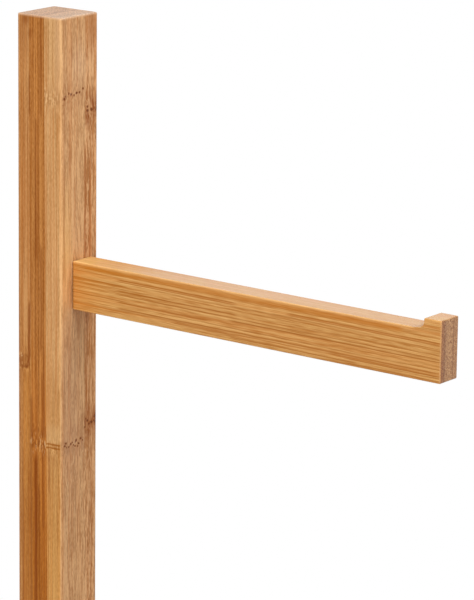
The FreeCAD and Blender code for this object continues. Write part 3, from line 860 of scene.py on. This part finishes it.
# Tones of each metal: pale, deep and stained.
ZINC = (tone(214, 215, 216), tone(180, 184, 190), tone(176, 168, 148))
BRASS = (tone(226, 190, 108), tone(196, 152, 76), tone(140, 102, 56))
# Sizes of a metal's soft spots, its scratches, which run two ways, and its stains.
SOFT_SPOTS = (1.6, 1.6, 1.6)
FLAT_SCRATCHES = (1.6, 1.6, 0.1)
STEEP_SCRATCHES = (0.1, 1.6, 1.6)
DULL_STAINS = (3, 3, 3)


def metal(name, pale, deep, stain):
    """Bright metal with tint and gloss that vary in soft spots, fine scratches and a few dull stains."""
    material, place, _ = new_material(name)
    spots = noise(place, SOFT_SPOTS, 1, 2.0)
    scratches = noise(place, STEEP_SCRATCHES, 2) + noise(place, FLAT_SCRATCHES, 3)
    dull = noise(place, DULL_STAINS, 4, 3.0).smooth(0.06, 0.22)
    colour = blend(0.5 + 3.0 * spots, deep, pale)
    colour = blend(0.5 * dull, colour, stain)
    roughness = 0.28 + 0.7 * spots + 0.4 * scratches + 0.2 * dull
    return dress(material, colour, roughness, scratches + spots, relief=0.02, Metallic=1.0)


# Sizes of the pads' grit and dust, and the heights between which they are worn.
PAD_GRIT = (0.35, 0.35, 0.35)
PAD_DUST = (2.5, 2.5, 1)
PAD_RIM = (0.7, 0.1)


def rubber():
    """Black rubber with fine grit, paler where dust sits on it and along the worn rim."""
    material, place, _ = new_material("pad_rubber")
    grit = noise(place, PAD_GRIT, 1, 2.0)
    dust = noise(place, PAD_DUST, 2, 3.0).smooth(0.0, 0.25)
    worn = parts(place)[2].smooth(*PAD_RIM)
    colour = blend(0.5 + 2.5 * grit, tone(30, 29, 28), tone(52, 50, 48))
    colour = blend(0.35 * dust + 0.3 * worn, colour, tone(112, 106, 98))
    return dress(material, colour, 0.75 + 0.6 * grit, grit, relief=0.06, IOR=1.45)


FINISHES = {
    "post_bamboo": post_bamboo(),
    "arm_bamboo": arm_bamboo(),
    "base_bamboo": base_bamboo(),
    "dowel_wood": beech("upright_dowel_wood", (2, 0, 1)),
    "zinc_plated_steel": metal("zinc_plated_steel", *ZINC),
    "insert_brass": metal("insert_brass", *BRASS),
    "pad_rubber": rubber(),
}
LYING_DOWEL = beech("lying_dowel_wood", (0, 1, 2))

# Faces that meet at more than this angle keep a sharp edge.
SHARP_ANGLE = math.radians(32)


def add_object(name, data):
    """A new object in the scene."""
    made = bpy.data.objects.new(name, data)
    bpy.context.scene.collection.objects.link(made)
    return made


def skin(name, slot, replaced, grid, looped):
    """Mesh of rings: four-sided faces between neighbours, and the end rings capped, or joined if looped."""
    rows, columns = grid.shape[:2]
    here = np.arange(rows * columns).reshape(rows, columns)
    there = np.roll(here, -1, axis=0)
    caps = []
    if not looped:
        caps = [here[0, ::-1].tolist(), here[-1].tolist()]
        here, there = here[:-1], there[:-1]
    faces = np.stack([here, np.roll(here, -1, axis=1), np.roll(there, -1, axis=1), there], axis=-1)
    mesh = bpy.data.meshes.new(name)
    mesh.from_pydata(grid.reshape(-1, 3) * MM, [], faces.reshape(-1, 4).tolist() + caps)
    mesh.polygons.foreach_set("use_smooth", np.ones(len(mesh.polygons), dtype=bool))
    mesh.set_sharp_from_angle(angle=SHARP_ANGLE)
    mesh.materials.append(FINISHES[slot])
    piece = add_object(name, mesh)
    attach(piece, "root")
    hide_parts(replaced)


def turned(origin, axis, side, distance, radius, angles):
    """Points at each row's distance along an axis and radius from it, at each angle from the side."""
    axis, side = np.array(axis, float), np.array(side, float)
    ring = np.outer(np.cos(angles), side) + np.outer(np.sin(angles), np.cross(axis, side))
    return origin + distance[..., None] * axis + radius[..., None] * ring


def full_turn(columns):
    return np.linspace(0, 2 * np.pi, columns, endpoint=False)


def outline(*turns):
    """Rows of distance and radius on straight lines between turns, each with the rows up to the next."""
    pairs = zip(turns, turns[1:])
    runs = [np.linspace(here[:2], there[:2], here[2], endpoint=False) for here, there in pairs]
    rows = np.concatenate([*runs, [turns[-1][:2]]])
    return rows[:, :1], rows[:, 1:]


def ridge(distance, angles, pitch, half_width):
    """Height 0 to 1 of a right-hand thread: one peak per pitch, moved along by the pitch in a full turn."""
    phase = (distance / pitch - angles / (2 * np.pi)) % 1
    return np.clip(1 - np.abs(phase - 0.5) / half_width, 0, 1)


# Nearest that an outline comes to its axis, so that its end ring can be capped, and a share in place of 0.
POINT_RADIUS = 0.02
TINY = 1e-6
FASTENER_COLUMNS = 120
SLEEVE_COLUMNS = 72
# Rows on a recess's floor, wall and face. Its middle ring and the foot of its wall are shares of its shape.
FLOOR_ROWS = 5
WALL_ROWS = 4
FACE_ROWS = 6
RECESS_MIDDLE = 0.02
RECESS_FOOT = 0.92


def recess(shape, depth, rim):
    """Rows of distance and radius of a recess whose edge is the shape, from its middle out to a round rim.

    The floor lies at the depth, the wall leans a little, and the face round it is flat.
    """
    floor = np.linspace(RECESS_MIDDLE, RECESS_FOOT, FLOOR_ROWS)[:, None] * shape
    wall = np.linspace(RECESS_FOOT, 1.0, WALL_ROWS)[:, None] * shape
    face = shape + np.linspace(0, 1, FACE_ROWS + 1)[1:, None] * (rim - shape)
    levels = [np.full(FLOOR_ROWS, depth), np.linspace(depth, 0, WALL_ROWS), np.zeros(FACE_ROWS)]
    return np.concatenate(levels)[:, None], np.concatenate([floor, wall, face])


# The arm screw: radii of its head, neck, thread crest and thread root; how far from its face the head ends,
# the neck ends and the thread starts; over what length the thread rises and the point narrows; its thread;
# and the cross in its head.
SCREW_HEAD = 4.0
SCREW_NECK = 1.45
SCREW_CREST = 2.0
SCREW_ROOT = 1.25
SCREW_HEAD_END = 2.5
SCREW_NECK_END = 14
SCREW_THREAD_START = 14.5
SCREW_RISE = 2
SCREW_POINT = 4
SCREW_PITCH = 1.8
SCREW_RIDGE = 0.25
CROSS_HALF_SPAN = 2.24
CROSS_HALF_WIDTH = 0.6
CROSS_DEPTH = 1.8


def arm_screw():
    """Countersunk wood screw: outline plus a thread that fades at both ends, and a cross in the head."""
    low, high = corners("arm_screw")
    origin = np.array([low[0], (low[1] + high[1]) / 2, (low[2] + high[2]) / 2])
    reach = high[0] - low[0]
    angles = full_turn(FASTENER_COLUMNS)
    across, up = np.abs(np.cos(angles)), np.abs(np.sin(angles))
    far, near = np.maximum(across, up), np.minimum(across, up)
    cross = np.minimum(CROSS_HALF_SPAN / far, CROSS_HALF_WIDTH / np.maximum(near, TINY))
    sunk, face = recess(cross, CROSS_DEPTH, SCREW_HEAD)
    distance, radius = outline(
        (0.0, SCREW_HEAD, 8), (SCREW_HEAD_END, SCREW_NECK, 10), (SCREW_NECK_END, SCREW_NECK, 2),
        (SCREW_THREAD_START, SCREW_ROOT, 230), (reach - SCREW_POINT, SCREW_ROOT, 40),
        (reach, POINT_RADIUS, 1),
    )
    rise = np.clip((distance - SCREW_THREAD_START) / SCREW_RISE, 0, 1)
    fade = rise * np.clip((reach - distance) / SCREW_POINT, 0, 1)
    radius = radius + (SCREW_CREST - SCREW_ROOT) * fade * ridge(distance, angles, SCREW_PITCH, SCREW_RIDGE)
    rows, radii = np.vstack([sunk, distance]), np.vstack([face, radius])
    grid = turned(origin, (1, 0, 0), (0, 1, 0), rows, radii, angles)
    skin("threaded_arm_screw", "zinc_plated_steel", "arm_screw", grid, looped=False)


# The bolt: radii of its head and shank; its head's height, bevel and dome; the depth and run-in of its
# thread; the bevel at its end; and its socket.
BOLT_HEAD = 5.25
BOLT_SHANK = 3.0
BOLT_HEAD_HEIGHT = 3.3
BOLT_BEVEL = 1.4
BOLT_DOME_RISE = 0.35
BOLT_DOME_INSET = 0.6
BOLT_PITCH = 1.0
BOLT_THREAD = 0.6
BOLT_RIDGE = 0.45
BOLT_RUN_IN = 1.5
BOLT_END_BEVEL = 0.8
SOCKET_HALF_WIDTH = 2.0
SOCKET_DEPTH = 2.2


def base_bolt():
    """Bolt: domed outline less a fine thread cut along its shank, and a six-sided socket in the head."""
    low, high = corners("base_bolt")
    origin = np.array([POST_AXIS_X, 0.0, low[2]])
    reach = high[2] - low[2]
    angles = full_turn(FASTENER_COLUMNS)
    sixth = np.pi / 3
    socket = SOCKET_HALF_WIDTH / np.cos((angles % sixth) - sixth / 2)
    sunk, face = recess(socket, SOCKET_DEPTH, BOLT_HEAD - BOLT_BEVEL)
    bevel_start, bevel_radius = reach - BOLT_END_BEVEL, BOLT_SHANK - BOLT_END_BEVEL
    distance, radius = outline(
        (0.0, BOLT_HEAD - BOLT_BEVEL, 2), (BOLT_DOME_RISE, BOLT_HEAD - BOLT_DOME_INSET, 3),
        (BOLT_BEVEL, BOLT_HEAD, 4), (BOLT_HEAD_HEIGHT, BOLT_HEAD, 4), (BOLT_HEAD_HEIGHT, BOLT_SHANK, 250),
        (bevel_start, BOLT_SHANK, 8), (reach, bevel_radius, 3), (reach, POINT_RADIUS, 1),
    )
    on_shank = (radius > bevel_radius) * (distance < bevel_start)
    cut = np.clip((distance - BOLT_HEAD_HEIGHT) / BOLT_RUN_IN, 0, 1) * on_shank
    radius = radius - BOLT_THREAD * cut * (1 - ridge(distance, angles, BOLT_PITCH, BOLT_RIDGE))
    rows, radii = np.vstack([sunk, distance]), np.vstack([face, radius])
    grid = turned(origin, (0, 0, 1), (1, 0, 0), rows, radii, angles)
    skin("threaded_base_bolt", "zinc_plated_steel", "base_bolt", grid, looped=False)


# The sleeve: radii of its outer thread's crest and root and of its bore, its lead, and its outer thread.
SLEEVE_CREST = 4.5
SLEEVE_ROOT = 3.85
SLEEVE_BORE = 3.05
SLEEVE_LEAD = 1.0
SLEEVE_LEAD_DEPTH = 0.3
SLEEVE_FADE = 2
SLEEVE_PITCH = 2.5
SLEEVE_RIDGE = 0.3


def post_sleeve():
    """Sleeve: outline plus a coarse thread outside, and inside a bore that follows the bolt's thread."""
    low, high = corners("post_insert")
    origin = np.array([POST_AXIS_X, 0.0, low[2]])
    reach = high[2] - low[2]
    angles = full_turn(SLEEVE_COLUMNS)
    distance, radius = outline(
        (0.0, SLEEVE_BORE, 2), (0.0, SLEEVE_ROOT, 130), (reach - SLEEVE_LEAD, SLEEVE_ROOT, 6),
        (reach, SLEEVE_ROOT - SLEEVE_LEAD_DEPTH, 2), (reach, SLEEVE_BORE, 1),
    )
    fade = np.clip(distance / SLEEVE_FADE, 0, 1) * np.clip((reach - distance) / SLEEVE_FADE, 0, 1)
    thread = fade * (radius >= SLEEVE_ROOT) * ridge(distance, angles, SLEEVE_PITCH, SLEEVE_RIDGE)
    outside = radius + (SLEEVE_CREST - SLEEVE_ROOT) * thread
    inner, bore = outline((reach, SLEEVE_BORE, 180), (0.0, SLEEVE_BORE, 1))
    from_head = inner + low[2] - corners("base_bolt")[0][2]
    inside = bore - BOLT_THREAD * (1 - ridge(from_head, angles, BOLT_PITCH, BOLT_RIDGE))
    rows = np.vstack([distance[1:-1], inner[1:-1]])
    radii = np.vstack([outside[1:-1], inside[1:-1]])
    grid = turned(origin, (0, 0, 1), (1, 0, 0), rows, radii, angles)
    skin("threaded_post_sleeve", "insert_brass", "post_insert", grid, looped=True)


# Name, place and power of each lamp. Both have the same aim and size.
LAMPS = (("left_lamp", (0.05, -1.10, 1.45), 12.8), ("right_lamp", (1.15, 0.02, 1.50), 12.5))
LAMP_AIM = (-0.05, 0, 0.5)
LAMP_SIZE = 0.8
WORLD_LEVEL = 0.40
WHITE = (1, 1, 1, 1)


def lamp(name, place, power):
    """A soft round lamp that the camera doesn't see."""
    light = bpy.data.lights.new(name, "AREA")
    light.shape = "DISK"
    light.size = LAMP_SIZE
    light.energy = power
    made = add_object(name, light)
    made.location = place
    made.rotation_euler = (Vector(LAMP_AIM) - Vector(place)).to_track_quat("-Z", "Y").to_euler()
    made.visible_camera = False


def seen_share(start):
    """1 for what the camera sees straight, in gloss or through glass, and 0 for plain light."""
    rays = ("Is Camera Ray", "Is Glossy Ray", "Is Transmission Ray")
    return highest([start.node("LightPath", {}, {}, ray) for ray in rays])


def make_world(level):
    """Even white light around the object, at that level; what the camera and gloss see is plain white."""
    world = bpy.data.worlds.new("studio")
    start = clear_nodes(world)
    strength = level + (1 - level) * seen_share(start)
    light = start.node("Background", {}, {"Color": WHITE, "Strength": strength})
    light.node("OutputWorld", {}, {"Surface": light})
    bpy.context.scene.world = world


# The floor's half width, its colour, and the distances from the middle over which it turns plain white.
FLOOR_REACH = 40.0
FLOOR_COLOUR = (0.86, 0.86, 0.86, 1)
FLOOR_FADE = (0.3, 0.9)


def floor_material():
    """A pale floor that keeps the shadow near the object and is plain white further off.

    It is clear from below, and under the base plate light passes through it, so that the underside shows.
    """
    material = bpy.data.materials.new("pale_floor")
    start = clear_nodes(material)
    metres = start.node("TexCoord", {}, {}, "Object")
    matt = start.node("BsdfDiffuse", {}, {"Color": FLOOR_COLOUR})
    white = start.node("Emission", {}, {"Color": WHITE, "Strength": 1.0})
    far = length(metres).smooth(*FLOOR_FADE) * seen_share(start)
    above = start.node("MixShader", {}, {0: far, 1: matt, 2: white})
    x, y, _ = parts(metres)
    under_base = abs(x).most(abs(y)) < BASE_HIGH[0] * MM
    lets_through = under_base * (1 - start.node("LightPath", {}, {}, "Is Camera Ray"))
    below = start.node("NewGeometry", {}, {}, "Backfacing")
    clear = start.node("BsdfTransparent", {}, {})
    surface = start.node("MixShader", {}, {0: below.most(lets_through), 1: above, 2: clear})
    start.node("OutputMaterial", {}, {"Surface": surface})
    return material


def make_floor():
    """A large square on the ground."""
    square = FLOOR_REACH * np.array([(-1, -1, 0), (1, -1, 0), (1, 1, 0), (-1, 1, 0)])
    mesh = bpy.data.meshes.new("floor")
    mesh.from_pydata(square, [], [(0, 1, 2, 3)])
    mesh.materials.append(floor_material())
    floor = add_object("floor", mesh)


# The camera turns about a point at this height on the post's axis. It stands this far back from the point,
# and is moved this far to its own right and up.
VIEW_POINT_HEIGHT = 0.540
CAMERA_ASIDE = 0.06336
CAMERA_ABOVE = 0.00745
CAMERA_DISTANCE = 1.214
CAMERA_TURN = 37.14
CAMERA_TILT = 13.88
CAMERA_ROLL = 0.76
CAMERA_LENS = 206.4
CAMERA_SENSOR = 36.0
CAMERA_REACH = 200.0


def make_camera():
    """The camera turns about the post, tilts down, rolls a little and looks past the post at the arm."""
    turn = Matrix.Rotation(math.radians(CAMERA_TURN), 4, "Z")
    tilt = Matrix.Rotation(math.radians(90 - CAMERA_TILT), 4, "X")
    roll = Matrix.Rotation(math.radians(CAMERA_ROLL), 4, "Z")
    point = Matrix.Translation((POST_AXIS_X * MM, 0, VIEW_POINT_HEIGHT))
    offset = Matrix.Translation((CAMERA_ASIDE, CAMERA_ABOVE, CAMERA_DISTANCE))
    data = bpy.data.cameras.new("camera")
    data.lens = CAMERA_LENS
    data.sensor_width = CAMERA_SENSOR
    data.clip_end = CAMERA_REACH
    camera = add_object("camera", data)
    camera.matrix_world = point @ turn @ tilt @ roll @ offset
    bpy.context.scene.camera = camera


for subpart in frame["record"]["subparts"]:
    node = frame["nodes"][subpart["node"]]
    for material_slot in node.material_slots:
        material_slot.material = FINISHES[subpart["material_slot"]]
for material_slot in frame["nodes"]["arm_dowel"].material_slots:
    material_slot.material = LYING_DOWEL

arm_screw()
base_bolt()
post_sleeve()

make_world(WORLD_LEVEL)
make_floor()
for lamp_values in LAMPS:
    lamp(*lamp_values)
make_camera()
bpy.context.scene.view_settings.view_transform = "Standard"
